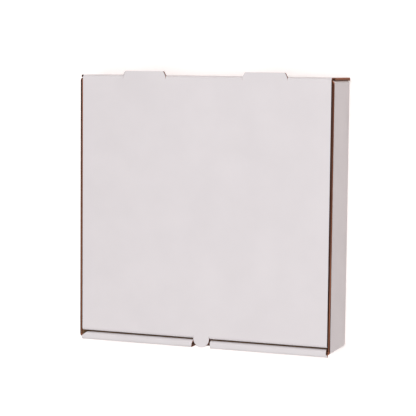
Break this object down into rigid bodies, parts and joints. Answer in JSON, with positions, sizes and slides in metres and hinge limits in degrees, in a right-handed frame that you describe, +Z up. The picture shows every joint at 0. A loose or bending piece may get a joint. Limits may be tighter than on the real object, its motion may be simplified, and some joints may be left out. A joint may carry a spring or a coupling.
{
  "type": "pizza box",
  "caption": "Closed square pizza box of white-faced corrugated board with a hinged lid, a thumb tab and a rolled front wall.",
  "frame": {"origin": "under the middle of the base panel, on the face that the box rests on", "axes": "+X to the right seen from the front, +Y to the hinge at the back, +Z up through the lid"},
  "size_m": [0.26, 0.2683, 0.055],
  "materials": {
    "board": "matte"
  },
  "bodies": {
    "tray": {"tray": "board"},
    "lid": {"lid": "board"}
  },
  "joints": [
    {"name": "lid_hinge", "type": "hinge", "parent": "tray", "child": "lid", "pos_m": [0, 0.13112, 0.05412], "axis": [-1, 0, 0], "range_deg": [0, 180]}
  ]
}
